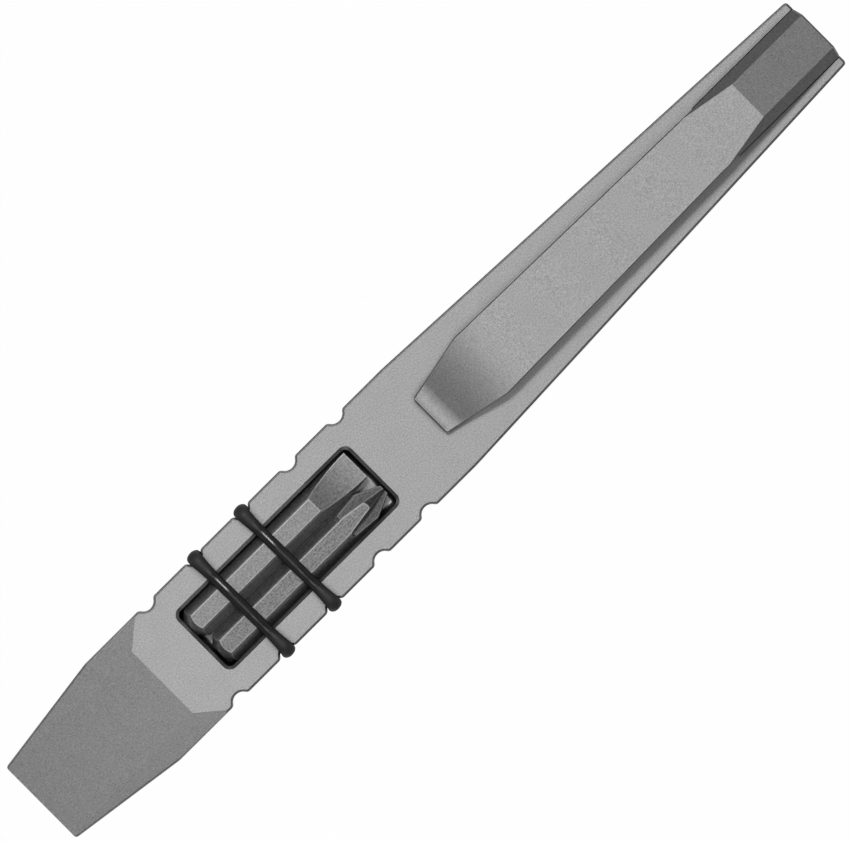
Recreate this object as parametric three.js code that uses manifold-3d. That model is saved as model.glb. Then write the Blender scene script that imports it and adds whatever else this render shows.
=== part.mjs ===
// Pocket multi-tool: a pry bar with a bit pocket, two O-rings, two driver bits and a screwed-on pocket clip.
// Millimetres. +X runs from the pry edge to the tail, +Z is the clip side, Z = 0 is the O-rings' underside.
import * as THREE from "three";
import { mergeVertices } from "three/addons/utils/BufferGeometryUtils.js";
import Module from "manifold-3d";

const wasm = await Module();
wasm.setup();

// Bar
const BAR_LENGTH = 133.1;
const BAR_WIDTH = 16.46;
const BAR_THICKNESS = 6.35;
const EDGE_BREAK = 0.18;
const TAPER_START = 66.6;
const RAIL_WIDTH = 1.12;
const TAIL_CORNER_RADIUS = 0.5;

// Pry wedge
const TIP_WIDTH = 12.1;
const TIP_THICKNESS = 1.0;
const TIP_CORNER_RADIUS = 0.4;
const FLARE_LENGTH = 15.7;
const WEDGE_LENGTH = 20.85;
const FACET_WIDTH = 2.98;
const FACET_TIP_WIDTH = 0.45;
const FACET_RUN_OUT = 3.55;

// Bits
const BIT_FLATS = 4;
const BIT_CORNERS = 4.52;
const BIT_LENGTH = 28.25;
const BIT_REAR_CHAMFER = 1.02;
const BLADE_LENGTH = 7;
const BLADE_THICKNESS = 1;
const BLADE_TAPER_DEGREES = 3.5;
const GRIND_LENGTH = 6.2;
const GRIND_HEEL_DEGREES = 22;
const BLADE_CORNER_CUT = 0.17;
const BLADE_CORNER_RUN = 1.6;
const CROSS_TIP_RADIUS = 0.65;
const CROSS_CONE_DEGREES = 26;
const FLUTE_LENGTH = 7.15;
const FLUTE_TIP_RADIUS = 0.15;
const FLUTE_RISE_DEGREES = 12;
const FLUTE_EXIT_DEGREES = 45;
const CROSS_TURN_DEGREES = -2.6;

// Bit pocket, centred on the middle notch
const POCKET_CENTRE = 42.35;
const POCKET_CHAMFER = 0.41;
const POCKET_CORNER_RADIUS = 0.75;
const BIT_SIDE_CLEARANCE = 0.07;
const BIT_END_CLEARANCE = 0.37;
const BIT_FLOOR_CLEARANCE = 0.05;
const BIT_STAND = 0.3;
const SLOTTED_SHIFT = -0.25;
const PHILLIPS_SHIFT = 0.1;

// O-rings and their notches, counted from the pry end
const NOTCH_COUNT = 5;
const NOTCH_PITCH = 8.1;
const NOTCH_DEPTH = 0.84;
const NOTCH_RADIUS = 1.3;
const NOTCH_LIP_RADIUS = 0.6;
const FRONT_RING_NOTCH = 1;
const RING_WIDTH = 1.5;
const RING_HEIGHT = 1.35;
const RING_BEND_RADIUS = 0.3;
const RING_CLEARANCE = 0.05;
const RING_SETTLE = 0.4;

// Channel in the tail and the clip's root in it
const CHANNEL_LENGTH = 17.6;
const CHANNEL_WIDTH = 8.3;
const CHANNEL_DEPTH = 0.8;
const CHANNEL_CORNER_RADIUS = 0.6;
const ROOT_SIDE_CLEARANCE = 0.13;
const ROOT_END_CLEARANCE = 0.3;
const ROOT_FLOOR_CLEARANCE = 0.05;
const ROOT_END_BULGE = 0.3;

// Clip, from its ramp at the tail to its lip
const CLIP_LENGTH = 66.6;
const RAMP_WIDTH = 5.48;
const RAMP_LENGTH = 12.1;
const RAMP_DEGREES = 10;
const RAMP_TAIL_RISE = 1.45;
const CLIP_FLAT_LENGTH = 8.9;
const CLIP_ROOT_THICKNESS = 1.5;
const CLIP_ROOT_FILLET = 1.2;
const ARM_DROP = 0.8;
const BEND_LENGTH = 9.8;
const DIP_LENGTH = 2.2;
const CLIP_TIP_THICKNESS = 0.95;
const CLIP_TIP_GAP = 0.2;
const LIP_LENGTH = 0.6;
const LIP_WIDTH = 6;
const LIP_RISE = 0.07;
const LIP_UNDERCUT = 0.4;
const LIP_CORNER_RADIUS = 0.4;
const SHOULDER_LENGTH = 8.7;
const SHOULDER_WIDTH = 9.44;

// Clip screws, driven from the back
const SCREW_INSET = 2.8;
const SCREW_GAP = 0.8;
const SCREW_DIAMETER = 2;
const SCREW_HEAD_DIAMETER = 3.8;
const SCREW_HEAD_HEIGHT = 1.1;
const SCREW_HEAD_RIM = 0.2;
const SCREW_HEAD_SINK = 0.09;
const SCREW_ENGAGEMENT = 2.05;
const SCREW_CLEARANCE = 0.15;
const RECESS_DIAMETER = 1.75;
const RECESS_DEPTH = 0.8;
const RECESS_LOBES = 6;
const RECESS_WAVE = 0.13;

// Bit socket in the tail, with the magnet at its end
const SOCKET_CLEARANCE = 0.1;
const SOCKET_MOUTH_CHAMFER = 0.15;
const SOCKET_END_WALL = 0.8;
const MAGNET_DIAMETER = 3.8;
const MAGNET_THICKNESS = 2;
const MAGNET_CLEARANCE = 0.1;

// How finely round stretches are drawn, and how far a cutter runs past the face that it opens
const ARC_STEPS = 4;
const ROUND_SIDES = 36;
const RING_CORNER_STEPS = 6;
const RING_RUN_STEPS = 24;
const RING_SECTION_SIDES = 16;
const RECESS_STEPS = 48;
const OVERRUN = 1;

// Sizes and places worked out from those above
const slopeOf = (degrees) => Math.tan(THREE.MathUtils.degToRad(degrees));
const BACK = RING_HEIGHT + RING_CLEARANCE;
const MIDDLE = BACK + BAR_THICKNESS / 2;
const TOP = BACK + BAR_THICKNESS;
const TOOL_LENGTH = BAR_LENGTH + ROOT_END_BULGE;
const TAIL_WIDTH = CHANNEL_WIDTH + 2 * RAIL_WIDTH;
const BIT_FLAT_WIDTH = Math.sqrt(BIT_CORNERS ** 2 - BIT_FLATS ** 2);
const BIT_PLACE = (BIT_CORNERS + BIT_SIDE_CLEARANCE) / 2;
const POCKET_LENGTH = BIT_LENGTH + 2 * BIT_END_CLEARANCE;
const POCKET_WIDTH = 2 * BIT_CORNERS + 3 * BIT_SIDE_CLEARANCE;
const POCKET_FLOOR = TOP + BIT_STAND - BIT_FLATS - BIT_FLOOR_CLEARANCE;
const BIT_AXIS = POCKET_FLOOR + BIT_FLOOR_CLEARANCE + BIT_FLATS / 2;
const BIT_EDGE = BIT_PLACE + BIT_FLAT_WIDTH / 2;
const RAIL_EDGE = POCKET_WIDTH / 2 + POCKET_CHAMFER + RING_SETTLE;
const REAR_RING_NOTCH = FRONT_RING_NOTCH + 1;
const NOTCH_ANGLE = Math.acos(1 - NOTCH_DEPTH / (NOTCH_RADIUS + NOTCH_LIP_RADIUS));
const NOTCH_REACH = (NOTCH_RADIUS + NOTCH_LIP_RADIUS) * Math.sin(NOTCH_ANGLE);
const CHANNEL_START = BAR_LENGTH - CHANNEL_LENGTH;
const CHANNEL_FLOOR = TOP - CHANNEL_DEPTH;
const ROOT_START = CHANNEL_START + ROOT_END_CLEARANCE;
const ROOT_WIDTH = CHANNEL_WIDTH - 2 * ROOT_SIDE_CLEARANCE;
const ROOT_FLOOR = CHANNEL_FLOOR + ROOT_FLOOR_CLEARANCE;
const RAMP_TAIL = TOP + RAMP_TAIL_RISE;
const RAMP_START = TOOL_LENGTH - RAMP_LENGTH;
const CLIP_TOP = RAMP_TAIL + RAMP_LENGTH * slopeOf(RAMP_DEGREES);
const ARM_START = RAMP_START - CLIP_FLAT_LENGTH;
const LIP_END = TOOL_LENGTH - CLIP_LENGTH;
const LIP_START = LIP_END + LIP_LENGTH;
const BEND_END = LIP_START + DIP_LENGTH;
const BEND_START = BEND_END + BEND_LENGTH;
const SCREW_PLACE = CHANNEL_START + SCREW_INSET;
const SCREW_SPREAD = SCREW_HEAD_DIAMETER + SCREW_GAP;
const SCREW_LENGTH = CHANNEL_FLOOR - BACK + SCREW_ENGAGEMENT;
const SOCKET_FLATS = BIT_FLATS + SOCKET_CLEARANCE;
const SOCKET_AXIS = (BACK + CHANNEL_FLOOR) / 2;
const MAGNET_SEAT = SCREW_PLACE + SCREW_HEAD_DIAMETER / 2 + SCREW_CLEARANCE + SOCKET_END_WALL;
const SOCKET_END = MAGNET_SEAT + MAGNET_THICKNESS + MAGNET_CLEARANCE;
const FAR = 2 * TOOL_LENGTH;

const titanium = new THREE.MeshStandardMaterial({ color: 0xa2a3a5, roughness: 0.45, metalness: 0.9 });
const rubber = new THREE.MeshStandardMaterial({ color: 0x1a1a1b, roughness: 0.55, metalness: 0 });
const bitSteel = new THREE.MeshStandardMaterial({ color: 0x8c8d90, roughness: 0.35, metalness: 0.9 });
const screwSteel = new THREE.MeshStandardMaterial({ color: 0x6d6e71, roughness: 0.4, metalness: 0.9 });
const nickel = new THREE.MeshStandardMaterial({ color: 0xb9b8b4, roughness: 0.25, metalness: 1 });

const tool = new THREE.Group();

// Turns a closed geometry into a solid for the booleans.
function solid(geometry) {
  const bare = geometry.clone();
  bare.deleteAttribute("normal");
  bare.deleteAttribute("uv");
  const merged = mergeVertices(bare, 1e-4);
  const mesh = new wasm.Mesh({
    numProp: 3,
    vertProperties: new Float32Array(merged.attributes.position.array),
    triVerts: new Uint32Array(merged.index.array),
  });
  return new wasm.Manifold(mesh);
}

// Turns a solid back into a geometry.
function geometryOf(made) {
  const mesh = made.getMesh();
  const geometry = new THREE.BufferGeometry();
  geometry.setAttribute("position", new THREE.BufferAttribute(mesh.vertProperties, 3));
  geometry.setIndex(new THREE.BufferAttribute(mesh.triVerts, 1));
  const flat = geometry.toNonIndexed();
  flat.computeVertexNormals();
  return flat;
}

// Adds a named piece, moved so that the tool's length is centred on X = 0.
function addPiece(name, made, material) {
  const mesh = new THREE.Mesh(geometryOf(made), material);
  mesh.name = name;
  mesh.position.x = -TOOL_LENGTH / 2;
  tool.add(mesh);
}

function point(x, y, z) {
  return new THREE.Vector3(x, y, z);
}

// A shape drawn in X and Y, standing on the given height.
function upright(shape, floor, height) {
  const geometry = new THREE.ExtrudeGeometry(shape, {
    depth: height,
    bevelEnabled: false,
    curveSegments: ARC_STEPS,
  });
  geometry.translate(0, 0, floor);
  return solid(geometry);
}

// A shape drawn in Y and Z, drawn out along X.
function lengthways(shape, start, length, axisHeight) {
  const geometry = new THREE.ExtrudeGeometry(shape, { depth: length, bevelEnabled: false });
  const turn = new THREE.Matrix4();
  turn.makeBasis(point(0, 1, 0), point(0, 0, 1), point(1, 0, 0));
  geometry.applyMatrix4(turn);
  geometry.translate(start, 0, axisHeight);
  return solid(geometry);
}

// A shape drawn in X and Z, drawn out along Y to both sides of the middle.
function sideways(shape, width) {
  const geometry = new THREE.ExtrudeGeometry(shape, {
    depth: width,
    bevelEnabled: false,
    curveSegments: 2 * ARC_STEPS,
  });
  geometry.rotateX(Math.PI / 2);
  geometry.translate(0, width / 2, 0);
  return solid(geometry);
}

// A profile of [radius, height] pairs from axis to axis, turned about Z.
function turned(profile) {
  const points = profile.map(([radius, height]) => new THREE.Vector2(radius, height));
  const geometry = new THREE.LatheGeometry(points, ROUND_SIDES);
  geometry.rotateX(Math.PI / 2);
  return geometry;
}

// The same, turned about the X axis at the given height.
function turnedAlongX(profile, start, axisHeight) {
  const geometry = turned(profile);
  geometry.rotateY(Math.PI / 2);
  geometry.translate(start, 0, axisHeight);
  return solid(geometry);
}

// All the space on one side of the plane through three points: the side that "towards" lies on.
function spaceBeyond(a, b, c, towards) {
  const along = b.clone().sub(a).normalize();
  const normal = along.clone().cross(c.clone().sub(a)).normalize();
  if (normal.dot(towards) < 0) normal.negate();
  const across = normal.clone().cross(along);
  const geometry = new THREE.BoxGeometry(FAR, FAR, FAR);
  geometry.translate(0, 0, FAR / 2);
  const turn = new THREE.Matrix4();
  turn.makeBasis(along, across, normal);
  turn.setPosition(a);
  geometry.applyMatrix4(turn);
  return solid(geometry);
}

// A closed outline whose corners are [x, y, radius], with the radius left out at sharp corners.
function roundedOutline(corners) {
  const shape = new THREE.Shape();
  corners.forEach(([x, y, radius = 0], i) => {
    const corner = new THREE.Vector2(x, y);
    const before = new THREE.Vector2(...corners.at(i - 1).slice(0, 2));
    const after = new THREE.Vector2(...corners[(i + 1) % corners.length].slice(0, 2));
    const back = before.sub(corner).normalize();
    const on = after.sub(corner).normalize();
    const halfAngle = Math.acos(THREE.MathUtils.clamp(back.dot(on), -1, 1)) / 2;
    const reach = radius / Math.tan(halfAngle);
    const enter = corner.clone().addScaledVector(back, reach);
    const leave = corner.clone().addScaledVector(on, reach);
    if (i === 0) shape.moveTo(enter.x, enter.y);
    else shape.lineTo(enter.x, enter.y);
    if (radius > 0) {
      const middle = back.clone().add(on).setLength(radius / Math.sin(halfAngle)).add(corner);
      const from = enter.clone().sub(middle).angle();
      const to = leave.clone().sub(middle).angle();
      shape.absarc(middle.x, middle.y, radius, from, to, back.cross(on) > 0);
    }
  });
  shape.closePath();
  return shape;
}

function rectangle(startX, endX, width, radius) {
  const half = width / 2;
  return roundedOutline([
    [startX, -half, radius],
    [endX, -half, radius],
    [endX, half, radius],
    [startX, half, radius],
  ]);
}

// A hexagon with flats above and below.
function hexagon(flats) {
  const corners = flats / Math.cos(Math.PI / 6);
  const shape = new THREE.Shape();
  for (let i = 0; i < 6; i += 1) {
    const angle = (i * Math.PI) / 3;
    const y = (corners / 2) * Math.cos(angle);
    const z = (corners / 2) * Math.sin(angle);
    if (i === 0) shape.moveTo(y, z);
    else shape.lineTo(y, z);
  }
  shape.closePath();
  return shape;
}

function notchPlace(number) {
  return POCKET_CENTRE + (number - (NOTCH_COUNT - 1) / 2) * NOTCH_PITCH;
}

// One O-ring notch, drawn while the outline runs along +X on the +Y side or along -X on the -Y side.
function addNotch(shape, place, heading) {
  const turn = heading > 0 ? 0 : Math.PI;
  const up = turn + Math.PI / 2;
  const down = turn - Math.PI / 2;
  const lip = heading * (BAR_WIDTH / 2 - NOTCH_LIP_RADIUS);
  const seat = heading * (BAR_WIDTH / 2 - NOTCH_DEPTH + NOTCH_RADIUS);
  const reach = heading * NOTCH_REACH;
  shape.absarc(place - reach, lip, NOTCH_LIP_RADIUS, up, up - NOTCH_ANGLE, true);
  shape.absarc(place, seat, NOTCH_RADIUS, down - NOTCH_ANGLE, down + NOTCH_ANGLE, false);
  shape.absarc(place + reach, lip, NOTCH_LIP_RADIUS, up + NOTCH_ANGLE, up, true);
}

// The bar seen from above.
function barOutline() {
  const wide = BAR_WIDTH / 2;
  const tail = TAIL_WIDTH / 2;
  const tip = TIP_WIDTH / 2;
  const corner = TAIL_CORNER_RADIUS;
  const nose = TIP_CORNER_RADIUS;
  const notches = Array.from({ length: NOTCH_COUNT }, (_, i) => notchPlace(i));
  const shape = new THREE.Shape();
  shape.moveTo(0, tip - nose);
  shape.quadraticCurveTo(0, tip, nose, tip + (nose / FLARE_LENGTH) * (wide - tip));
  shape.lineTo(FLARE_LENGTH, wide);
  notches.forEach((place) => addNotch(shape, place, 1));
  shape.lineTo(TAPER_START, wide);
  shape.lineTo(BAR_LENGTH - corner, tail);
  shape.quadraticCurveTo(BAR_LENGTH, tail, BAR_LENGTH, tail - corner);
  shape.lineTo(BAR_LENGTH, corner - tail);
  shape.quadraticCurveTo(BAR_LENGTH, -tail, BAR_LENGTH - corner, -tail);
  shape.lineTo(TAPER_START, -wide);
  notches.reverse().forEach((place) => addNotch(shape, place, -1));
  shape.lineTo(FLARE_LENGTH, -wide);
  shape.lineTo(nose, -tip - (nose / FLARE_LENGTH) * (wide - tip));
  shape.quadraticCurveTo(0, -tip, 0, nose - tip);
  shape.closePath();
  return shape;
}

function barBlank() {
  const geometry = new THREE.ExtrudeGeometry(barOutline(), {
    depth: BAR_THICKNESS - 2 * EDGE_BREAK,
    bevelThickness: EDGE_BREAK,
    bevelSize: EDGE_BREAK,
    bevelOffset: -EDGE_BREAK,
    bevelSegments: 1,
    curveSegments: ARC_STEPS,
  });
  geometry.translate(0, 0, BACK + EDGE_BREAK);
  return solid(geometry);
}

// The pry wedge's main bevels and the facets beside them, on both faces.
function cutWedge(bar) {
  let cut = bar;
  for (const face of [1, -1]) {
    const high = MIDDLE + (face * BAR_THICKNESS) / 2;
    const low = MIDDLE + (face * TIP_THICKNESS) / 2;
    const out = point(0, 0, face);
    const bevel = [point(WEDGE_LENGTH, 0, high), point(WEDGE_LENGTH, 1, high), point(0, 0, low)];
    cut = cut.subtract(spaceBeyond(...bevel, out));
    for (const side of [1, -1]) {
      const fold = point(WEDGE_LENGTH, side * (BAR_WIDTH / 2 - FACET_WIDTH), high);
      const runOut = point(WEDGE_LENGTH + FACET_RUN_OUT, (side * BAR_WIDTH) / 2, high);
      const tip = point(0, side * (TIP_WIDTH / 2 - FACET_TIP_WIDTH), low);
      cut = cut.subtract(spaceBeyond(fold, runOut, tip, out));
    }
  }
  return cut;
}

// The blind pocket for the bits, with a chamfered rim.
function pocketCutter() {
  const start = POCKET_CENTRE - POCKET_LENGTH / 2;
  const end = POCKET_CENTRE + POCKET_LENGTH / 2;
  const outline = rectangle(start, end, POCKET_WIDTH, POCKET_CORNER_RADIUS);
  const rim = new THREE.ExtrudeGeometry(outline, {
    depth: POCKET_CHAMFER,
    bevelThickness: POCKET_CHAMFER,
    bevelSize: POCKET_CHAMFER,
    bevelSegments: 1,
    curveSegments: ARC_STEPS,
  });
  rim.translate(0, 0, TOP);
  return upright(outline, POCKET_FLOOR, BAR_THICKNESS).add(solid(rim));
}

function channelCutter() {
  const outline = rectangle(CHANNEL_START, FAR, CHANNEL_WIDTH, CHANNEL_CORNER_RADIUS);
  return upright(outline, CHANNEL_FLOOR, BAR_THICKNESS);
}

// The hexagonal socket in the tail, its chamfered mouth and the magnet's bore behind it.
function socketCutter() {
  const corners = SOCKET_FLATS / 2 / Math.cos(Math.PI / 6);
  const wall = (CHANNEL_FLOOR - BACK) / 2 - corners;
  const mouth = corners + Math.min(SOCKET_MOUTH_CHAMFER, wall / 2);
  const bore = (MAGNET_DIAMETER + MAGNET_CLEARANCE) / 2;
  const depth = BAR_LENGTH - SOCKET_END + OVERRUN;
  const boreDepth = SOCKET_END - MAGNET_SEAT + OVERRUN;
  const hex = lengthways(hexagon(SOCKET_FLATS), SOCKET_END, depth, SOCKET_AXIS);
  const seat = [[0, 0], [bore, 0], [bore, boreDepth], [0, boreDepth]];
  const flare = [[0, -mouth], [mouth, 0], [mouth, OVERRUN], [0, OVERRUN]];
  const magnet = turnedAlongX(seat, MAGNET_SEAT, SOCKET_AXIS);
  return hex.add(magnet).add(turnedAlongX(flare, BAR_LENGTH, SOCKET_AXIS));
}

// A countersunk screw's profile from its head face upwards, grown by a clearance.
function screwProfile(clearance, headFace, length) {
  const head = SCREW_HEAD_DIAMETER / 2 + clearance;
  const shank = SCREW_DIAMETER / 2 + clearance;
  return [
    [0, headFace],
    [head, headFace],
    [head, SCREW_HEAD_RIM],
    [shank, SCREW_HEAD_HEIGHT],
    [shank, length],
    [0, length],
  ];
}

function atScrew(geometry, side) {
  geometry.translate(SCREW_PLACE, (side * SCREW_SPREAD) / 2, BACK);
  return solid(geometry);
}

function screwHole(side) {
  const profile = screwProfile(SCREW_CLEARANCE, -OVERRUN, SCREW_LENGTH + SCREW_CLEARANCE);
  return atScrew(turned(profile), side);
}

function barBody() {
  let bar = cutWedge(barBlank());
  bar = bar.subtract(pocketCutter());
  bar = bar.subtract(channelCutter());
  bar = bar.subtract(socketCutter());
  for (const side of [1, -1]) bar = bar.subtract(screwHole(side));
  return bar;
}

// The clip seen from the side: X along the tool, Y up.
function clipProfile() {
  const reach = BEND_LENGTH / 2;
  const dip = DIP_LENGTH / 2;
  const armSlope = ARM_DROP / (ARM_START - BEND_START);
  const armEnd = CLIP_TOP - ARM_DROP;
  const lipTop = TOP + CLIP_TIP_GAP + CLIP_TIP_THICKNESS;
  const bendSlope = (armEnd - lipTop - reach * armSlope) / (reach + dip);
  const bendMiddle = armEnd - reach * armSlope;
  const bendEnd = bendMiddle - reach * bendSlope;
  const root = CLIP_TOP - CLIP_ROOT_THICKNESS;
  const under = CLIP_TIP_THICKNESS;
  const fillet = CLIP_ROOT_FILLET;
  const shape = new THREE.Shape();
  shape.moveTo(TOOL_LENGTH + OVERRUN, RAMP_TAIL - OVERRUN * slopeOf(RAMP_DEGREES));
  shape.lineTo(RAMP_START, CLIP_TOP);
  shape.lineTo(ARM_START, CLIP_TOP);
  shape.lineTo(BEND_START, armEnd);
  shape.quadraticCurveTo(BEND_START - reach, bendMiddle, BEND_END, bendEnd);
  shape.quadraticCurveTo(BEND_END - dip, lipTop, LIP_START, lipTop);
  shape.lineTo(LIP_END, lipTop + LIP_RISE);
  shape.lineTo(LIP_END, lipTop - under + LIP_UNDERCUT);
  shape.lineTo(LIP_START, lipTop - under);
  shape.quadraticCurveTo(BEND_END - dip, lipTop - under, BEND_END, bendEnd - under);
  shape.quadraticCurveTo(BEND_START - reach, bendMiddle - under, BEND_START, armEnd - under);
  shape.lineTo(ARM_START, root);
  shape.lineTo(ROOT_START - fillet, root);
  shape.quadraticCurveTo(ROOT_START, root, ROOT_START, root - fillet);
  shape.lineTo(ROOT_START, ROOT_FLOOR);
  shape.lineTo(TOOL_LENGTH + OVERRUN, ROOT_FLOOR);
  shape.closePath();
  return shape;
}

// The clip seen from above.
function clipOutline() {
  const lip = LIP_WIDTH / 2;
  const shoulder = SHOULDER_WIDTH / 2;
  const root = ROOT_WIDTH / 2;
  const ramp = RAMP_WIDTH / 2;
  const corner = LIP_CORNER_RADIUS;
  const shape = new THREE.Shape();
  shape.moveTo(LIP_END, lip - corner);
  shape.quadraticCurveTo(LIP_END, lip, LIP_END + corner, lip);
  shape.lineTo(LIP_END + SHOULDER_LENGTH, shoulder);
  shape.lineTo(CHANNEL_START, root);
  shape.lineTo(BAR_LENGTH, root);
  shape.lineTo(TOOL_LENGTH, ramp);
  shape.lineTo(TOOL_LENGTH, -ramp);
  shape.lineTo(BAR_LENGTH, -root);
  shape.lineTo(CHANNEL_START, -root);
  shape.lineTo(LIP_END + SHOULDER_LENGTH, -shoulder);
  shape.lineTo(LIP_END + corner, -lip);
  shape.quadraticCurveTo(LIP_END, -lip, LIP_END, corner - lip);
  shape.closePath();
  return shape;
}

// The clip's sloping flanks leave a ramp of one width and spread into the arm above it.
function cutFlanks(clip) {
  let cut = clip;
  for (const side of [1, -1]) {
    const rampTail = point(TOOL_LENGTH, (side * RAMP_WIDTH) / 2, RAMP_TAIL);
    const rampStart = point(RAMP_START, (side * RAMP_WIDTH) / 2, CLIP_TOP);
    const rail = point(TOOL_LENGTH, (side * CHANNEL_WIDTH) / 2, TOP);
    cut = cut.subtract(spaceBeyond(rampTail, rampStart, rail, point(0, side, 1)));
  }
  return cut;
}

function pocketClip() {
  const plan = upright(clipOutline(), BACK, 2 * BAR_THICKNESS);
  let clip = cutFlanks(sideways(clipProfile(), BAR_WIDTH).intersect(plan));
  for (const side of [1, -1]) clip = clip.subtract(screwHole(side));
  return clip;
}

// The hexalobular recess in a screw head.
function recessCutter(side) {
  const shape = new THREE.Shape();
  for (let i = 0; i < RECESS_STEPS; i += 1) {
    const angle = (i * 2 * Math.PI) / RECESS_STEPS;
    const radius = RECESS_DIAMETER / 2 - RECESS_WAVE * (1 + Math.cos(RECESS_LOBES * angle));
    const x = radius * Math.cos(angle);
    const y = radius * Math.sin(angle);
    if (i === 0) shape.moveTo(x, y);
    else shape.lineTo(x, y);
  }
  shape.closePath();
  const depth = OVERRUN + SCREW_HEAD_SINK + RECESS_DEPTH;
  const geometry = new THREE.ExtrudeGeometry(shape, { depth, bevelEnabled: false });
  geometry.translate(0, 0, -OVERRUN);
  return atScrew(geometry, side);
}

function clipScrew(side) {
  const blank = atScrew(turned(screwProfile(0, SCREW_HEAD_SINK, SCREW_LENGTH)), side);
  return blank.subtract(recessCutter(side));
}

// The stations of an O-ring's path: the centre of each bend, and the angle at which the section stands.
function ringStations() {
  const cornerY = BAR_WIDTH / 2 - NOTCH_DEPTH + RING_CLEARANCE - RING_BEND_RADIUS;
  const cornerZ = BAR_THICKNESS / 2 + RING_CLEARANCE - RING_BEND_RADIUS;
  const stations = [];
  for (let quarter = 0; quarter < 4; quarter += 1) {
    const y = quarter === 0 || quarter === 3 ? cornerY : -cornerY;
    const z = quarter < 2 ? MIDDLE + cornerZ : MIDDLE - cornerZ;
    for (let step = 0; step <= RING_CORNER_STEPS; step += 1) {
      const angle = (quarter + step / RING_CORNER_STEPS) * (Math.PI / 2);
      stations.push({ y, z, angle });
    }
    if (quarter > 0) continue;
    for (let step = 1; step < RING_RUN_STEPS; step += 1) {
      const along = cornerY * (1 - (2 * step) / RING_RUN_STEPS);
      const lift = BIT_STAND * (1 - THREE.MathUtils.smoothstep(Math.abs(along), BIT_EDGE, RAIL_EDGE));
      stations.push({ y: along, z: z + lift, angle: Math.PI / 2 });
    }
  }
  return stations;
}

// An O-ring stretched round the bar in its notches, with its upper run lifted over the bits that it holds.
function oRing(notch) {
  const bend = RING_BEND_RADIUS + RING_HEIGHT / 2;
  const stations = ringStations();
  const positions = [];
  const triangles = [];
  stations.forEach((station, i) => {
    const next = ((i + 1) % stations.length) * RING_SECTION_SIDES;
    for (let k = 0; k < RING_SECTION_SIDES; k += 1) {
      const round = (k * 2 * Math.PI) / RING_SECTION_SIDES;
      const radius = bend + (RING_HEIGHT / 2) * Math.cos(round);
      positions.push(notchPlace(notch) + (RING_WIDTH / 2) * Math.sin(round));
      positions.push(station.y + radius * Math.cos(station.angle));
      positions.push(station.z + radius * Math.sin(station.angle));
      const beside = (k + 1) % RING_SECTION_SIDES;
      const here = i * RING_SECTION_SIDES;
      triangles.push(here + k, next + k, here + beside);
      triangles.push(here + beside, next + k, next + beside);
    }
  });
  const geometry = new THREE.BufferGeometry();
  geometry.setAttribute("position", new THREE.Float32BufferAttribute(positions, 3));
  geometry.setIndex(triangles);
  return solid(geometry);
}

// A bit's blank: a hexagonal rod turned to an outline that breaks its corners, lying along X with its rear at X = 0.
function bitBlank(tipProfile) {
  const profile = [
    [0, 0],
    [BIT_CORNERS / 2 - BIT_REAR_CHAMFER, 0],
    [BIT_CORNERS / 2, BIT_REAR_CHAMFER],
    ...tipProfile,
    [0, BIT_LENGTH],
  ];
  return lengthways(hexagon(BIT_FLATS), 0, BIT_LENGTH, 0).intersect(turnedAlongX(profile, 0, 0));
}

// The space above a hollow-ground blade: a steep heel that curves out into a slight taper.
function grindSpace() {
  const flat = BIT_FLATS / 2;
  const heel = BIT_LENGTH - BLADE_LENGTH;
  const steep = slopeOf(GRIND_HEEL_DEGREES);
  const taper = slopeOf(BLADE_TAPER_DEGREES);
  const foot = BLADE_THICKNESS / 2 + (BLADE_LENGTH - GRIND_LENGTH) * taper;
  const turn = (flat - foot - GRIND_LENGTH * taper) / (steep - taper);
  const shape = new THREE.Shape();
  shape.moveTo(heel, flat);
  shape.quadraticCurveTo(heel + turn, flat - turn * steep, heel + GRIND_LENGTH, foot);
  shape.lineTo(BIT_LENGTH + OVERRUN, BLADE_THICKNESS / 2 - OVERRUN * taper);
  shape.lineTo(BIT_LENGTH + OVERRUN, flat + OVERRUN);
  shape.lineTo(heel - OVERRUN / steep, flat + OVERRUN);
  shape.closePath();
  return sideways(shape, 2 * BIT_CORNERS);
}

function slottedBit() {
  const corner = BIT_CORNERS / 2 - BLADE_CORNER_CUT;
  const bit = bitBlank([
    [BIT_CORNERS / 2, BIT_LENGTH - BLADE_CORNER_RUN],
    [corner, BIT_LENGTH],
  ]);
  const space = grindSpace();
  return bit.subtract(space).subtract(space.rotate([180, 0, 0]));
}

// The space above a square groove whose bottom starts at a radius and climbs towards the bit's rear.
function grooveSpace(place, radius, degrees) {
  const low = point(place, 0, radius);
  const high = point(place - 1, 0, radius + slopeOf(degrees));
  const wallA = spaceBeyond(low, high, point(place, 1, radius + 1), point(0, -1, 1));
  const wallB = spaceBeyond(low, high, point(place, -1, radius + 1), point(0, 1, 1));
  return wallA.intersect(wallB);
}

function phillipsBit() {
  let bit = bitBlank([
    [BIT_CORNERS / 2, BIT_LENGTH - (BIT_CORNERS / 2 - CROSS_TIP_RADIUS) / slopeOf(CROSS_CONE_DEGREES)],
    [CROSS_TIP_RADIUS, BIT_LENGTH],
  ]);
  const exit = grooveSpace(BIT_LENGTH - FLUTE_LENGTH, BIT_CORNERS / 2, FLUTE_EXIT_DEGREES);
  const flute = grooveSpace(BIT_LENGTH, FLUTE_TIP_RADIUS, FLUTE_RISE_DEGREES).intersect(exit);
  for (let i = 0; i < 4; i += 1) bit = bit.subtract(flute.rotate([45 + CROSS_TURN_DEGREES + 90 * i, 0, 0]));
  return bit;
}

function inPocket(bit, shift, side) {
  const start = POCKET_CENTRE - BIT_LENGTH / 2 + shift;
  return bit.translate([start, side * BIT_PLACE, BIT_AXIS]);
}

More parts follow.
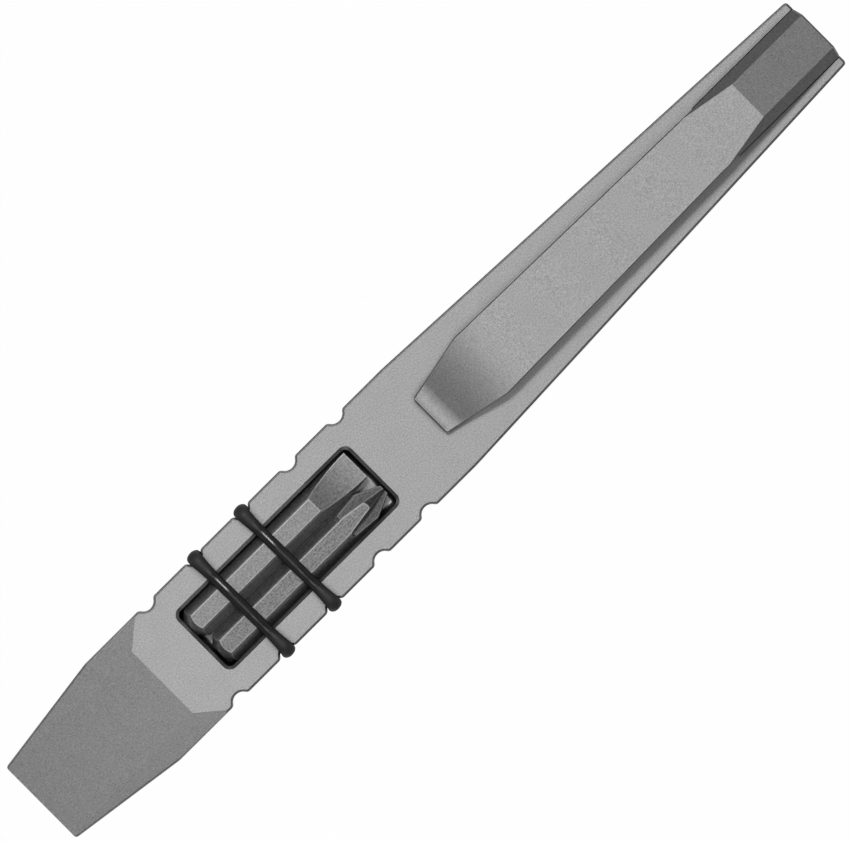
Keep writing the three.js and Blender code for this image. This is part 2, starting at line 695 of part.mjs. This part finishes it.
function socketMagnet() {
  const radius = MAGNET_DIAMETER / 2;
  const profile = [[0, 0], [radius, 0], [radius, MAGNET_THICKNESS], [0, MAGNET_THICKNESS]];
  return turnedAlongX(profile, MAGNET_SEAT + MAGNET_CLEARANCE / 2, SOCKET_AXIS);
}

addPiece("bar_body", barBody(), titanium);
addPiece("pocket_clip", pocketClip(), titanium);
addPiece("clip_screw_left", clipScrew(1), screwSteel);
addPiece("clip_screw_right", clipScrew(-1), screwSteel);
addPiece("o_ring_front", oRing(FRONT_RING_NOTCH), rubber);
addPiece("o_ring_rear", oRing(REAR_RING_NOTCH), rubber);
addPiece("slotted_bit", inPocket(slottedBit(), SLOTTED_SHIFT, 1), bitSteel);
addPiece("phillips_bit", inPocket(phillipsBit(), PHILLIPS_SHIFT, -1), bitSteel);
addPiece("socket_magnet", socketMagnet(), nickel);

export default tool;
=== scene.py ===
"""A blasted titanium pry bar with two screwdriver bits, two O-rings and a spring clip."""

import math

import bmesh
import bpy
from mathutils import Matrix, Vector

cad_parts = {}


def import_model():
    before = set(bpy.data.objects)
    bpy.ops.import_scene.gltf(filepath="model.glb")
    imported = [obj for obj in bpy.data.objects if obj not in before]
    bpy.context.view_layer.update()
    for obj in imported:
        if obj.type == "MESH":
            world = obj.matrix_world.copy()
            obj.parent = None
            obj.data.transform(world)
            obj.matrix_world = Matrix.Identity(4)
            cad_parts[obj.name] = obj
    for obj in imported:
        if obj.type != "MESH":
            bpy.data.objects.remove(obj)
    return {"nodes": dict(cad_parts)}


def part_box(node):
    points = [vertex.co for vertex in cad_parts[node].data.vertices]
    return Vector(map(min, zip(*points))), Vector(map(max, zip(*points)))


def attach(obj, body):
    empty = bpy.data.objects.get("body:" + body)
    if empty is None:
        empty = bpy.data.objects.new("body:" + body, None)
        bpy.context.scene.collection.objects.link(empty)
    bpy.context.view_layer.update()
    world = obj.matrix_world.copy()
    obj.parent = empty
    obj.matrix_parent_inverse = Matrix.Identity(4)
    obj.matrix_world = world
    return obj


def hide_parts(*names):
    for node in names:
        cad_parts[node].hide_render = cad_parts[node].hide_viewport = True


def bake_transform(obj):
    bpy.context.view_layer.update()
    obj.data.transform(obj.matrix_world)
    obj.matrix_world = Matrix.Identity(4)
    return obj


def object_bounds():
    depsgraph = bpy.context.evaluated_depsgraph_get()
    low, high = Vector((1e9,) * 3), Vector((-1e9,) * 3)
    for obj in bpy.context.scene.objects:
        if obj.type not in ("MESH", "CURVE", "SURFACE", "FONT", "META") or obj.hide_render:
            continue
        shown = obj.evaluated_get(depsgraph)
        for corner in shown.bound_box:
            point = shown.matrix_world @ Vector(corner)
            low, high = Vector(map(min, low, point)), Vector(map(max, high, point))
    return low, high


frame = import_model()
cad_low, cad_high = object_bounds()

MM = 0.001

# Places on the CAD model
BAR_TOP = 7.75 * MM
POCKET_FLOOR = 4.0 * MM
POCKET_ENDS = (-40.0 * MM, -9.0 * MM)
POCKET_SIDE = 5.1 * MM
WEDGE_END = -43.0 * MM
WEDGE_SIDE = 5.62 * MM
CLIP_END = 66.3 * MM
CLIP_SEAT = 7.5 * MM
CLIP_BEND = (49.0 * MM, 30.0 * MM)

# Edge finishing, with angles in degrees
WELD = 0.0005 * MM
CUT_TOLERANCE = 0.0001 * MM
SAME_HEIGHT = 0.01 * MM
FLAT_TURN = 0.3
SQUARE_TURN = 70
CLIP_EDGE_TURN = 75
BREAK_TURNS = (40, 50)
UPRIGHT = 0.98
POCKET_FOOT_RADIUS = 0.8 * MM
OUTLINE_SOFTENING = 0.11 * MM
WEDGE_CHAMFER = 0.26 * MM
CLIP_END_CHAMFER = 0.2 * MM
CLIP_EDGE_CHAMFER = 0.14 * MM
BIT_ROUNDING = 0.04 * MM
SCREW_ROUNDING = 0.04 * MM
MAGNET_ROUNDING = 0.1 * MM

# The clip's arm and the bits' lie
CLIP_CUTS = 24
ARM_RISE = 0.18 * MM
ARM_RISE_ENDS = (3.0 * MM, 12.3 * MM, 45.5 * MM)
BIT_REST = Vector((0, -0.06 * MM, 0))

# O-rings
RING_TUBE = 1.35 * MM
RING_SQUASH = 0.78
RING_SPREAD = 1.07
RING_REST = 7.8 * MM
RING_CORNER = 0.95 * MM
RING_SKEW = -0.015
RING_FLARE = 0.26
RING_FLARE_ENDS = (4.3 * MM, 7.5 * MM)
RING_LIFT = 0.36 * MM
RING_LIFT_ENDS = (4.7 * MM, 1.8 * MM)
RING_SCUFF_ENDS = (5.0 * MM, 6.2 * MM)
FRONT_RING_ASIDE = 0.14 * MM
RING_RUN_STEPS = 72
RING_TURN_STEPS = 12
RING_SIDE_STEPS = 12
RING_SIDES = 28

# Shading
RAY_SAMPLES = 8
FLAT_MATCH = 0.999

# Floor, with the shares of white that metal mirrors near the bar and far from it
FLOOR_SIZE = 2.5
FLOOR_GREY = 0.25
FLOOR_ROUGHNESS = 0.9
FLOOR_SEEN = 0.99
FLOOR_MIRRORED = (0.5, 0.05)
FLOOR_FADE = (18 * MM, 42 * MM)
FLOOR_STRIP = 46 * MM

# Camera
PICTURE_WIDTH = 850
PIXELS_PER_MM = 8.214
MIDDLE_SHIFT = (0.535 * MM, 0.44 * MM)
TURN = math.radians(-44.825)
LENS = 1200
SENSOR = 36


# Shader building

def new_material(name):
    """A material and its tree, with a shader at the output."""
    made = bpy.data.materials.new(name)
    made.use_nodes = True
    return made, made.node_tree, made.node_tree.nodes["Principled BSDF"]


def node(tree, kind, *values, settings=None, **named):
    """A shader node with its settings, and with values or links on its inputs by order or name."""
    made = tree.nodes.new("ShaderNode" + kind)
    for key, value in (settings or {}).items():
        setattr(made, key, value)
    for key, value in [*enumerate(values), *named.items()]:
        if isinstance(value, bpy.types.NodeSocket):
            tree.links.new(value, made.inputs[key])
        else:
            made.inputs[key].default_value = value
    return made


def sums(tree, operation, *values):
    """The result of a sum, a product or the like."""
    return node(tree, "Math", *values, settings={"operation": operation}).outputs[0]


def plus(tree, base, extra, share=1):
    """A value with a share of another one added."""
    return sums(tree, "MULTIPLY_ADD", extra, share, base)


def object_point(tree, stretch=(1, 1, 1)):
    """Where a point lies on the object, in metres, stretched along the three axes."""
    place = node(tree, "TexCoord").outputs["Object"]
    return node(tree, "Mapping", Vector=place, Scale=stretch).outputs["Vector"]


def noise(tree, place, scale, detail=2.0, roughness=0.5):
    made = node(tree, "TexNoise", Vector=place, Scale=scale, Detail=detail, Roughness=roughness)
    return made.outputs["Fac"]


def spread(tree, value, low, high, start=0.3, end=0.7):
    """A value from start to end, spread over low to high."""
    return node(tree, "MapRange", value, start, end, low, high).outputs["Result"]


def colour_mix(tree, value, dark, light, start=0.3, end=0.7):
    """A colour between two others, by a texture's value."""
    ramp = node(tree, "ValToRGB", value)
    first, last = ramp.color_ramp.elements
    first.position, first.color = start, (*dark, 1)
    last.position, last.color = end, (*light, 1)
    return ramp.outputs["Color"]


def grey(level):
    return (level, level, level)


def bump(tree, height, strength, distance, under=None):
    made = node(tree, "Bump", Height=height, Strength=strength, Distance=distance)
    if under is not None:
        tree.links.new(under, made.inputs["Normal"])
    return made.outputs["Normal"]


# Materials

def soft_edges(tree, reach):
    """The surface's direction, turning softly over its edges."""
    return node(tree, "Bevel", reach, settings={"samples": RAY_SAMPLES}).outputs["Normal"]


def edge_wear_and_highlight(tree, reach, turn):
    """How near an edge is, from 0 on a flat to 1 where a soft edge turns by so many degrees; it
    brightens edges as wear on the titanium and as wear and painted highlight on the bits.
    """
    plain = node(tree, "NewGeometry").outputs["Normal"]
    both = node(tree, "VectorMath", soft_edges(tree, reach), plain,
                settings={"operation": "DOT_PRODUCT"})
    turned = math.cos(math.radians(turn))
    return spread(tree, both.outputs["Value"], low=1, high=0, start=turned, end=FLAT_MATCH)


def painted_recess_shade(tree, distance, darkest):
    """A painted shade for recesses, from darkest in a deep corner to 1 on open faces."""
    made = node(tree, "AmbientOcclusion", settings={"samples": RAY_SAMPLES}, Distance=distance)
    return spread(tree, made.outputs["AO"], low=darkest, high=1, start=0.2, end=0.9)


def shaded(tree, colour, shade):
    """A colour multiplied by a shade."""
    made = node(tree, "VectorMath", colour, shade, settings={"operation": "MULTIPLY"})
    return made.outputs["Vector"]


def blasted_titanium():
    """Titanium blasted with fine grit: an even grain of specks, worn brighter at the edges, with
    painted shade in its recesses.
    """
    made, tree, shader = new_material("blasted_titanium_finish")
    place = object_point(tree)
    grain = noise(tree, place, scale=6200, detail=2.0, roughness=0.6)
    patches = noise(tree, place, scale=420, detail=3.0, roughness=0.55)
    mixed = plus(tree, grain, patches, share=0.08)
    worn_and_highlit = plus(tree, mixed, edge_wear_and_highlight(tree, reach=0.25 * MM, turn=30), share=0.12)
    colour = colour_mix(tree, worn_and_highlit, dark=grey(0.28), light=grey(0.56), start=0.29, end=0.79)
    # Painted shade: darker within a millimetre of other faces, in the pocket, in corners and beside
    # the clip.
    colour = shaded(tree, colour, painted_recess_shade(tree, distance=1 * MM, darkest=0.3))
    tree.links.new(colour, shader.inputs["Base Color"])
    shader.inputs["Metallic"].default_value = 1
    tree.links.new(spread(tree, grain, low=0.33, high=0.38), shader.inputs["Roughness"])
    pits = bump(tree, grain, strength=0.3, distance=0.01 * MM)
    tree.links.new(pits, shader.inputs["Normal"])
    return made


def bit_steel(name, dark, light, slopes, shade):
    """Tool steel with grinding lines, edges brightened by wear and painted highlight, rougher
    flanks, and painted light and shade by facing: paler flanks, darker rear faces, and forward
    slopes scaled by the shade factor.
    """
    made, tree, shader = new_material(name)
    along = object_point(tree, stretch=(0.03, 1, 1))
    lines = noise(tree, along, scale=9000, detail=2.0, roughness=0.5)
    grain = noise(tree, object_point(tree), scale=4200, detail=2.0, roughness=0.6)
    mixed = plus(tree, grain, lines, share=0.3)
    faint = spread(tree, mixed, low=0.4, high=0.9, start=0.35, end=0.95)
    # Edges painted brighter, partly as wear and partly as a painted highlight.
    worn_and_highlit = plus(tree, faint, edge_wear_and_highlight(tree, reach=0.3 * MM, turn=6), share=0.32)
    colour = colour_mix(tree, worn_and_highlit, dark=grey(dark), light=grey(light), start=0.35, end=1)
    # Painted light and shade by the way a face looks: forward slopes times the shade factor, rear
    # faces darker, flanks paler.
    facing = node(tree, "SeparateXYZ", node(tree, "TexCoord").outputs["Normal"]).outputs
    front = spread(tree, facing["X"], low=1, high=shade, start=slopes[0], end=slopes[1])
    rear = spread(tree, facing["X"], low=0.75, high=1, start=-0.4, end=-0.2)
    flanks = spread(tree, facing["Z"], low=1, high=0, start=0.55, end=0.85)
    painted_light_and_shade = plus(tree, sums(tree, "MULTIPLY", front, rear), flanks, share=0.22)
    tree.links.new(shaded(tree, colour, painted_light_and_shade), shader.inputs["Base Color"])
    shader.inputs["Metallic"].default_value = 1
    duller = plus(tree, spread(tree, grain, low=0.37, high=0.45), flanks, share=0.22)
    tree.links.new(duller, shader.inputs["Roughness"])
    soft = soft_edges(tree, reach=0.1 * MM)
    scratches = bump(tree, mixed, strength=0.15, distance=0.01 * MM, under=soft)
    tree.links.new(scratches, shader.inputs["Normal"])
    return made


def black_rubber():
    """Moulded rubber with faint smudges on a smooth skin, scuffed dull where it bends down."""
    made, tree, shader = new_material("black_rubber_finish")
    place = object_point(tree)
    smudges = noise(tree, place, scale=900, detail=3.0, roughness=0.6)
    skin = noise(tree, place, scale=9000, detail=2.0, roughness=0.5)
    colour = colour_mix(tree, smudges, dark=grey(0.008), light=grey(0.014))
    tree.links.new(colour, shader.inputs["Base Color"])
    aside = sums(tree, "ABSOLUTE", node(tree, "SeparateXYZ", place).outputs["Y"])
    start, end = RING_SCUFF_ENDS
    scuffed = spread(tree, aside, low=0, high=0.3, start=start, end=end)
    rough = plus(tree, spread(tree, smudges, low=0.23, high=0.29), scuffed)
    tree.links.new(rough, shader.inputs["Roughness"])
    shader.inputs["Specular IOR Level"].default_value = 0.85
    pores = bump(tree, skin, strength=0.05, distance=0.004 * MM)
    tree.links.new(pores, shader.inputs["Normal"])
    return made


def screw_steel():
    """Turned and darkened screw steel."""
    made, tree, shader = new_material("screw_steel_finish")
    grain = noise(tree, object_point(tree), scale=5200, detail=3.0, roughness=0.6)
    colour = colour_mix(tree, grain, dark=(0.2, 0.2, 0.205), light=(0.32, 0.32, 0.325))
    tree.links.new(colour, shader.inputs["Base Color"])
    shader.inputs["Metallic"].default_value = 1
    tree.links.new(spread(tree, grain, low=0.3, high=0.42), shader.inputs["Roughness"])
    marks = bump(tree, grain, strength=0.15, distance=0.01 * MM)
    tree.links.new(marks, shader.inputs["Normal"])
    return made


def magnet_nickel():
    """Nickel plating with hairline scuffs from the bits."""
    made, tree, shader = new_material("magnet_nickel_finish")
    across = object_point(tree, stretch=(1, 0.1, 1))
    scuffs = noise(tree, across, scale=8000, detail=2.0, roughness=0.6)
    cloud = noise(tree, object_point(tree), scale=1500, detail=3.0, roughness=0.6)
    colour = colour_mix(tree, cloud, dark=(0.5, 0.48, 0.44), light=(0.62, 0.6, 0.55))
    tree.links.new(colour, shader.inputs["Base Color"])
    shader.inputs["Metallic"].default_value = 1
    tree.links.new(spread(tree, scuffs, low=0.18, high=0.34), shader.inputs["Roughness"])
    marks = bump(tree, scuffs, strength=0.1, distance=0.006 * MM)
    tree.links.new(marks, shader.inputs["Normal"])
    return made


FINISH = {
    "blasted_titanium": blasted_titanium(),
    # The flat bit's forward slopes, its blade, are painted lighter by the shade factor.
    "bit_steel": bit_steel(
        "bit_steel_finish", dark=0.14, light=0.5, slopes=(0.12, 0.35), shade=1.4,
    ),
    "black_rubber": black_rubber(),
    "screw_steel": screw_steel(),
    "magnet_nickel": magnet_nickel(),
}
# A painted-shade copy of the bit steel for the cross bit: darker all over, and much darker on its
# forward slopes, the ground flutes.
SHADED_BIT_STEEL = bit_steel(
    "shaded_bit_steel_finish", dark=0.06, light=0.45, slopes=(0.05, 0.12), shade=0.5,
)


# Pieces

def share_of(value, start, end):
    """How far a value lies on the way from start to end, from 0 to 1."""
    return min(1, max(0, (value - start) / (end - start)))


def eased(share):
    """A share from 0 to 1 that starts and ends gently."""
    return share * share * (3 - 2 * share)


def turns_over(edge, degrees):
    return edge.is_manifold and edge.calc_face_angle() > math.radians(degrees)


def at_height(edge, height):
    return all(abs(vert.co.z - height) < SAME_HEIGHT for vert in edge.verts)


def welded(source):
    """A CAD node's surface as one closed mesh, with flat areas as single faces."""
    mesh = bmesh.new()
    mesh.from_mesh(frame["nodes"][source].data)
    bmesh.ops.remove_doubles(mesh, verts=mesh.verts, dist=WELD)
    bmesh.ops.dissolve_limit(
        mesh, angle_limit=math.radians(FLAT_TURN), verts=mesh.verts, edges=mesh.edges,
        use_dissolve_boundaries=False,
    )
    return mesh


def bevel(mesh, edges, width, segments=1, clamp=False):
    bmesh.ops.bevel(
        mesh, geom=edges, offset=width, offset_type="OFFSET", segments=segments, profile=0.5,
        affect="EDGES", clamp_overlap=clamp, loop_slide=True,
    )


def mark_folds(mesh, fold, curve):
    """Keeps folds crisp and curves smooth: an upright or hollow edge may turn by more degrees."""
    for edge in mesh.edges:
        if not edge.is_manifold:
            continue
        along = (edge.verts[1].co - edge.verts[0].co).normalized()
        limit = curve if abs(along.z) > UPRIGHT or not edge.is_convex else fold
        edge.smooth = edge.calc_face_angle() < math.radians(limit)


def add_piece(name, mesh, slot, stands_for, fold, curve=50, finish=None):
    """Makes the mesh an object in place of a CAD node, without faces that have no area."""
    bmesh.ops.dissolve_degenerate(mesh, dist=WELD, edges=mesh.edges)
    for face in mesh.faces:
        face.smooth = True
    mark_folds(mesh, fold, curve)
    data = bpy.data.meshes.new(name)
    mesh.to_mesh(data)
    mesh.free()
    piece = bpy.data.objects.new(name, data)
    bpy.context.scene.collection.objects.link(piece)
    data.materials.append(finish or FINISH[slot])
    weigh = piece.modifiers.new("even_shading", "WEIGHTED_NORMAL")
    weigh.keep_sharp = True
    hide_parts(stands_for)
    return piece


def rounded_piece(name, source, body, slot, width, sharpness=25, segments=2, fold=30, finish=None):
    """A CAD node's shape with the edges rounded that turn by more than the sharpness."""
    mesh = welded(source)
    sharp = [edge for edge in mesh.edges if turns_over(edge, sharpness)]
    bevel(mesh, sharp, width, segments, clamp=True)
    piece = add_piece(name, mesh, slot, source, fold, finish=finish)
    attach(piece, body)
    return piece


def on_outline(edge):
    """Whether an edge runs between the bar's top and its outline's edge break."""
    if not at_height(edge, BAR_TOP):
        return False
    start, end = POCKET_ENDS
    if all(start < v.co.x < end and abs(v.co.y) < POCKET_SIDE for v in edge.verts):
        return False
    least, most = BREAK_TURNS
    return least < math.degrees(edge.calc_face_angle()) < most


def on_wedge_side(edge):
    """Whether an edge runs along a side of the pry wedge."""
    beside = all(v.co.x < WEDGE_END and abs(v.co.y) > WEDGE_SIDE for v in edge.verts)
    return beside and turns_over(edge, SQUARE_TURN)


def on_clip_end(edge):
    """Whether an edge bounds the clip's end face above the rails."""
    behind = all(v.co.x > CLIP_END and v.co.z > CLIP_SEAT for v in edge.verts)
    return behind and turns_over(edge, SQUARE_TURN)


def milled_bar():
    """The bar with the cutter's radius round the pocket's floor and with its edges broken."""
    mesh = welded("bar_body")
    foot = [edge for edge in mesh.edges if at_height(edge, POCKET_FLOOR)]
    bevel(mesh, foot, POCKET_FOOT_RADIUS, segments=6, clamp=True)
    bevel(mesh, [edge for edge in mesh.edges if on_outline(edge)], OUTLINE_SOFTENING)
    bevel(mesh, [edge for edge in mesh.edges if on_wedge_side(edge)], WEDGE_CHAMFER)
    piece = add_piece("bar", mesh, "blasted_titanium", "bar_body", fold=4, curve=30)
    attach(piece, "bar")


def arm_rise(x):
    """How far the arm stands above a straight line, most where its bend to the lip begins."""
    low, crest, root = ARM_RISE_ENDS
    return ARM_RISE * eased(share_of(x, low, crest)) * share_of(x, root, crest)


def spring_clip():
    """The clip, cut into short lengths along its arm, from its root toward the lip."""
    mesh = welded("pocket_clip")
    root, tip = CLIP_BEND
    for i in range(CLIP_CUTS + 1):
        at = Vector((tip + (root - tip) * i / CLIP_CUTS, 0, 0))
        bmesh.ops.bisect_plane(
            mesh, geom=mesh.verts[:] + mesh.edges[:] + mesh.faces[:], dist=CUT_TOLERANCE,
            plane_co=at, plane_no=(1, 0, 0),
        )
    for vert in mesh.verts:
        vert.co.z += arm_rise(vert.co.x)
    bevel(mesh, [edge for edge in mesh.edges if on_clip_end(edge)], CLIP_END_CHAMFER)
    sharp = [edge for edge in mesh.edges if turns_over(edge, CLIP_EDGE_TURN)]
    bevel(mesh, sharp, CLIP_EDGE_CHAMFER)
    piece = add_piece("clip", mesh, "blasted_titanium", "pocket_clip", fold=6, curve=30)
    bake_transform(piece)


def ring_lift(y):
    """How far the bits lift a ring's upper run, at a distance from the bar's middle."""
    return RING_LIFT * eased(share_of(y, *RING_LIFT_ENDS))


def ring_path(reach, top, bottom):
    """The line in a ring's middle: over the top, down one side, along the back and up again."""
    inner = reach - RING_CORNER
    high = top - RING_CORNER
    low = bottom + RING_CORNER
    run = [inner * (1 - 2 * i / RING_RUN_STEPS) for i in range(RING_RUN_STEPS + 1)]
    turns = [math.pi / 2 * i / RING_TURN_STEPS for i in range(1, RING_TURN_STEPS)]
    bends = [(RING_CORNER * math.sin(a), RING_CORNER * math.cos(a)) for a in turns]
    side = [(-inner - sine, high + cosine) for sine, cosine in bends]
    for i in range(RING_SIDE_STEPS + 1):
        side.append((-reach, high + (low - high) * i / RING_SIDE_STEPS))
    side += [(-inner - cosine, low - sine) for sine, cosine in bends]
    over = [(y, top + ring_lift(abs(y))) for y in run]
    under = [(-y, bottom) for y in run]
    return over + side + under + [(-y, z) for y, z in reversed(side)]


def o_ring(name, source, body, aside=0):
    """A stretched ring: full and round in the notches, flat and thin over the bits, and askew."""
    low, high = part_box(source)
    middle = (low.x + high.x) / 2 + aside
    round_half = RING_TUBE / 2
    flat_half = RING_SQUASH * round_half
    top = RING_REST + flat_half
    path = ring_path(high.y - round_half, top, low.z + flat_half)
    mesh = bmesh.new()
    loops = []
    for i, (y, z) in enumerate(path):
        before, after = path[i - 1], path[(i + 1) % len(path)]
        along = Vector((0, after[0] - before[0], after[1] - before[1])).normalized()
        out = Vector((1, 0, 0)).cross(along)
        flare = 1 + RING_FLARE * share_of(abs(y), *RING_FLARE_ENDS) ** 2
        wide = round_half * RING_SPREAD * flare
        thick = flat_half + (round_half - flat_half) * along.z ** 2
        skew = RING_SKEW * y if z > top - RING_CORNER else 0
        loop = []
        for k in range(RING_SIDES):
            turn = 2 * math.pi * k / RING_SIDES
            beside = Vector((middle + skew + wide * math.sin(turn), y, z))
            loop.append(mesh.verts.new(beside + out * thick * math.cos(turn)))
        loops.append(loop)
    for here, there in zip(loops, loops[1:] + loops[:1]):
        for k in range(RING_SIDES):
            n = (k + 1) % RING_SIDES
            mesh.faces.new((here[k], there[k], there[n], here[n]))
    bmesh.ops.recalc_face_normals(mesh, faces=mesh.faces)
    piece = add_piece(name, mesh, "black_rubber", source, fold=80, curve=80)
    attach(piece, body)


def driver_bit(name, source, body, finish=None):
    """A bit with its edges rounded, lying to one side within its clearance."""
    piece = rounded_piece(
        name, source, body, "bit_steel", BIT_ROUNDING, sharpness=15, segments=3, fold=25,
        finish=finish,
    )
    piece.data.transform(Matrix.Translation(BIT_REST))


milled_bar()
spring_clip()
o_ring("front_o_ring", "o_ring_front", "front_ring", FRONT_RING_ASIDE)
o_ring("rear_o_ring", "o_ring_rear", "rear_ring")
driver_bit("flat_bit", "slotted_bit", "slotted")
driver_bit("cross_bit", "phillips_bit", "phillips", SHADED_BIT_STEEL)
rounded_piece("left_screw", "clip_screw_left", "bar", "screw_steel", SCREW_ROUNDING)
rounded_piece("right_screw", "clip_screw_right", "bar", "screw_steel", SCREW_ROUNDING)
rounded_piece("magnet", "socket_magnet", "bar", "magnet_nickel", MAGNET_ROUNDING)


# Floor, light and camera

def floor():
    """A pale floor, white to the camera and mirrored most near the bar, with the bar's shadow."""
    mesh = bmesh.new()
    bmesh.ops.create_grid(mesh, x_segments=1, y_segments=1, size=FLOOR_SIZE)
    data = bpy.data.meshes.new("floor")
    mesh.to_mesh(data)
    mesh.free()
    made = bpy.data.objects.new("floor", data)
    bpy.context.scene.collection.objects.link(made)
    made.location.z = cad_low.z
    paint, tree, shader = new_material("floor_paint")
    shader.inputs["Base Color"].default_value = (*grey(FLOOR_GREY), 1)
    shader.inputs["Roughness"].default_value = FLOOR_ROUGHNESS
    glow = node(tree, "Emission", Color=(1, 1, 1, 1), Strength=1)
    ray = node(tree, "LightPath").outputs
    mirrored = sums(tree, "MAXIMUM", ray["Is Glossy Ray"], ray["Is Transmission Ray"])
    place = node(tree, "SeparateXYZ", node(tree, "NewGeometry").outputs["Position"]).outputs
    aside = sums(tree, "ABSOLUTE", place["Y"])
    beyond = sums(tree, "SUBTRACT", sums(tree, "ABSOLUTE", place["X"]), FLOOR_STRIP)
    away = sums(tree, "MAXIMUM", aside, beyond)
    near = spread(tree, away, *FLOOR_MIRRORED, *FLOOR_FADE)
    shown = sums(tree, "MULTIPLY", mirrored, near)
    white = node(tree, "Math", ray["Is Camera Ray"], FLOOR_SEEN, shown,
                 settings={"operation": "MULTIPLY_ADD", "use_clamp": True})
    mixed = node(tree, "MixShader", white.outputs[0], shader.outputs[0], glow.outputs[0])
    tree.links.new(mixed.outputs[0], tree.nodes["Material Output"].inputs["Surface"])
    data.materials.append(paint)


def world():
    """A dim studio, darkest along its floor, palest on its low walls and in their four corners."""
    made = bpy.data.worlds.new("studio")
    made.use_nodes = True
    bpy.context.scene.world = made
    tree = made.node_tree
    towards = node(tree, "SeparateXYZ", node(tree, "TexCoord").outputs["Generated"]).outputs
    low = spread(tree, towards["Z"], low=0.02, high=0.26, start=0.06, end=0.28)
    high = spread(tree, towards["Z"], low=0, high=0.13, start=0.5, end=0.75)
    walls = sums(tree, "SUBTRACT", low, high)
    across = sums(tree, "ABSOLUTE", sums(tree, "MULTIPLY", towards["X"], towards["Y"]))
    corners = spread(tree, across, low=0, high=0.6, start=0.3, end=0.5)
    background = tree.nodes["Background"]
    background.inputs["Color"].default_value = (1, 1, 1, 1)
    tree.links.new(sums(tree, "ADD", walls, corners), background.inputs["Strength"])


def softbox(name, along, across, height, size, strength):
    """A square lamp that leans along and across the bar by degrees, with a radiance as strength."""
    lamp = bpy.data.lights.new(name, "AREA")
    lamp.size = size
    lamp.energy = strength * math.pi * size * size
    made = bpy.data.objects.new(name, lamp)
    bpy.context.scene.collection.objects.link(made)
    made.visible_camera = False
    lean = (math.tan(math.radians(along)), math.tan(math.radians(across)), 1)
    place = Vector(lean) * height
    made.location = place
    made.rotation_euler = place.to_track_quat("Z", "Y").to_euler()


def camera():
    """Looks straight down with the bar on the picture's diagonal."""
    lens = bpy.data.cameras.new("camera")
    lens.sensor_width = SENSOR
    lens.lens = LENS
    lens.clip_start = 0.01
    lens.clip_end = 20
    made = bpy.data.objects.new("camera", lens)
    bpy.context.scene.collection.objects.link(made)
    width = PICTURE_WIDTH / PIXELS_PER_MM * MM
    distance = width * LENS / SENSOR
    right = Vector((math.cos(TURN), math.sin(TURN), 0))
    up = Vector((-math.sin(TURN), math.cos(TURN), 0))
    place = -(right * MIDDLE_SHIFT[0] + up * MIDDLE_SHIFT[1])
    made.location = (place.x, place.y, BAR_TOP + distance)
    made.rotation_euler = (0, 0, TURN)
    bpy.context.scene.camera = made


floor()
world()
softbox("key", along=6.3, across=19, height=1.5, size=0.35, strength=16.7)
softbox("fill", along=-10.5, across=-10.5, height=0.6, size=0.18, strength=2.1)
camera()

bpy.context.scene.view_settings.view_transform = "Standard"
bpy.context.scene.cycles.sample_clamp_indirect = 0.4
